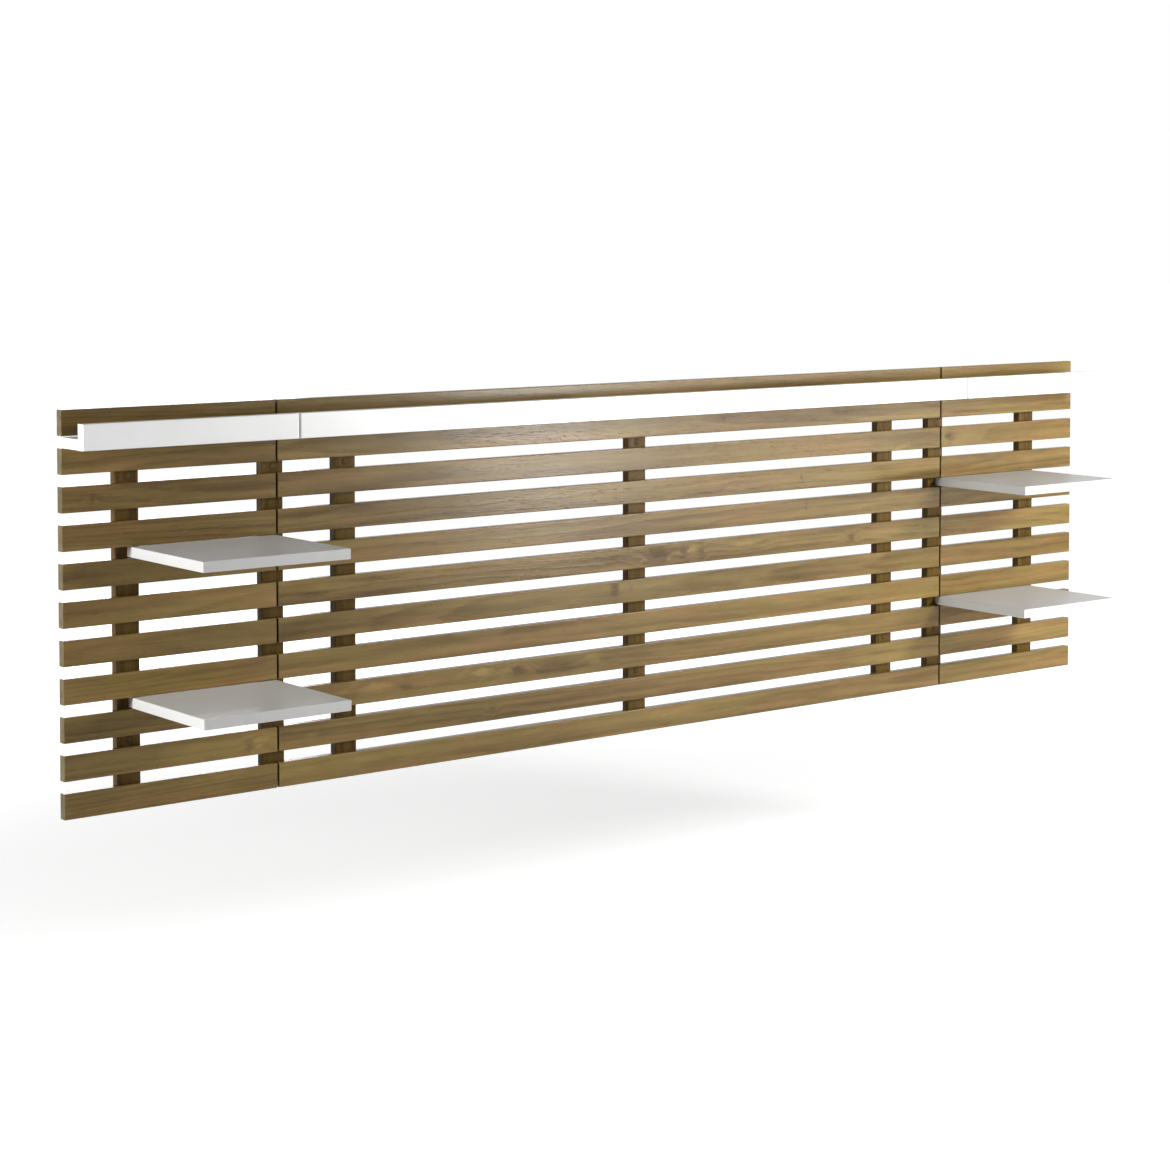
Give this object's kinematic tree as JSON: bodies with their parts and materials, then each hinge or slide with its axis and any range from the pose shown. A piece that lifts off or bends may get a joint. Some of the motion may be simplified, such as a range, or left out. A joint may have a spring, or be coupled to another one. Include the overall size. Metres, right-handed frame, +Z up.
{
  "type": "slatted headboard with floating shelves",
  "caption": "Wide wall-hung headboard panel of horizontal wooden slats on upright battens, with a white picture ledge along the top and white floating shelves at both sides.",
  "frame": {"origin": "centre of the wall screw pattern, on the wall plane at the backs of the battens, half way up the middle batten", "axes": "+X to the viewer's right along the slats, +Y into the wall, +Z up"},
  "size_m": [2.7, 0.3, 0.748],
  "materials": {
    "slat_wood": "satin walnut-tone decor with long horizontal grain",
    "batten_wood": "satin walnut-tone decor, upright grain, darker than the slats",
    "shelf_lacquer": "white satin lacquer on board",
    "ledge_lacquer": "white satin lacquer on board",
    "screw_steel": "zinc plated",
    "bracket_steel": "bright zinc plated",
    "dowel_wood": "bare beech"
  },
  "bodies": {
    "root": {"left_slat_01": "slat_wood", "left_slat_02": "slat_wood", "left_slat_03": "slat_wood", "left_slat_04": "slat_wood", "left_slat_05": "slat_wood", "left_slat_06": "slat_wood", "left_slat_07": "slat_wood", "left_slat_08": "slat_wood", "left_slat_09": "slat_wood", "left_slat_10": "slat_wood", "left_slat_11": "slat_wood", "middle_slat_01": "slat_wood", "middle_slat_02": "slat_wood", "middle_slat_03": "slat_wood", "middle_slat_04": "slat_wood", "middle_slat_05": "slat_wood", "middle_slat_06": "slat_wood", "middle_slat_07": "slat_wood", "middle_slat_08": "slat_wood", "middle_slat_09": "slat_wood", "middle_slat_10": "slat_wood", "middle_slat_11": "slat_wood", "right_slat_01": "slat_wood", "right_slat_02": "slat_wood", "right_slat_03": "slat_wood", "right_slat_04": "slat_wood", "right_slat_05": "slat_wood", "right_slat_06": "slat_wood", "right_slat_07": "slat_wood", "right_slat_08": "slat_wood", "right_slat_09": "slat_wood", "right_slat_10": "slat_wood", "right_slat_11": "slat_wood", "left_outer_batten": "batten_wood", "left_joint_batten": "batten_wood", "left_inner_batten": "batten_wood", "middle_batten": "batten_wood", "right_inner_batten": "batten_wood", "right_joint_batten": "batten_wood", "right_outer_batten": "batten_wood", "upper_left_shelf": "shelf_lacquer", "upper_right_shelf": "shelf_lacquer", "lower_left_shelf": "shelf_lacquer", "lower_right_shelf": "shelf_lacquer", "left_ledge_board": "ledge_lacquer", "middle_ledge_board": "ledge_lacquer", "right_ledge_board": "ledge_lacquer", "left_ledge_lip": "ledge_lacquer", "middle_ledge_lip": "ledge_lacquer", "right_ledge_lip": "ledge_lacquer", "slat_screws": "screw_steel", "ledge_screws": "screw_steel", "bracket_screws": "screw_steel", "shelf_brackets": "bracket_steel", "ledge_dowels": "dowel_wood"}
  },
  "joints": []
}
